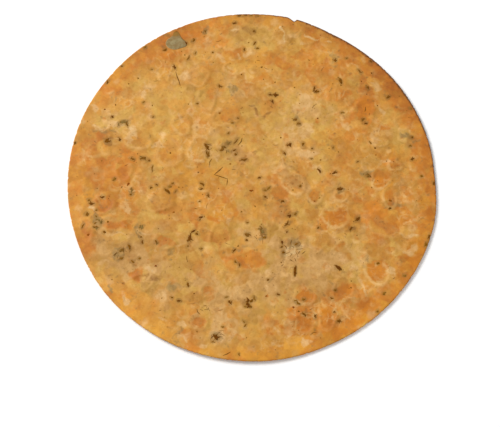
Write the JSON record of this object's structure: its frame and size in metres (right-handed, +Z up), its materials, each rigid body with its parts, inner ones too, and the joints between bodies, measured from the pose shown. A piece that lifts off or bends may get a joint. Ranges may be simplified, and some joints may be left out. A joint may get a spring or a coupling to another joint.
{
  "type": "khakhra",
  "caption": "Thin round crisp flatbread, roasted in blistered patches, with dried fenugreek leaf flecks in its top; lies flat on its underside.",
  "frame": {"origin": "middle of the bounding box's bottom, on the surface that the khakhra lies on", "axes": "+Z up through the sheet, +X to the right and +Y away from the viewer in the picture"},
  "size_m": [0.1784, 0.18, 0.0028],
  "materials": {
    "roasted_dough": "dry roasted dough, matt, golden with toasted orange-brown blisters and pale ridges",
    "dried_leaf": "dried fenugreek leaf, matt, dark brown-green"
  },
  "bodies": {
    "root": {"khakhra": "roasted_dough"}
  },
  "joints": []
}
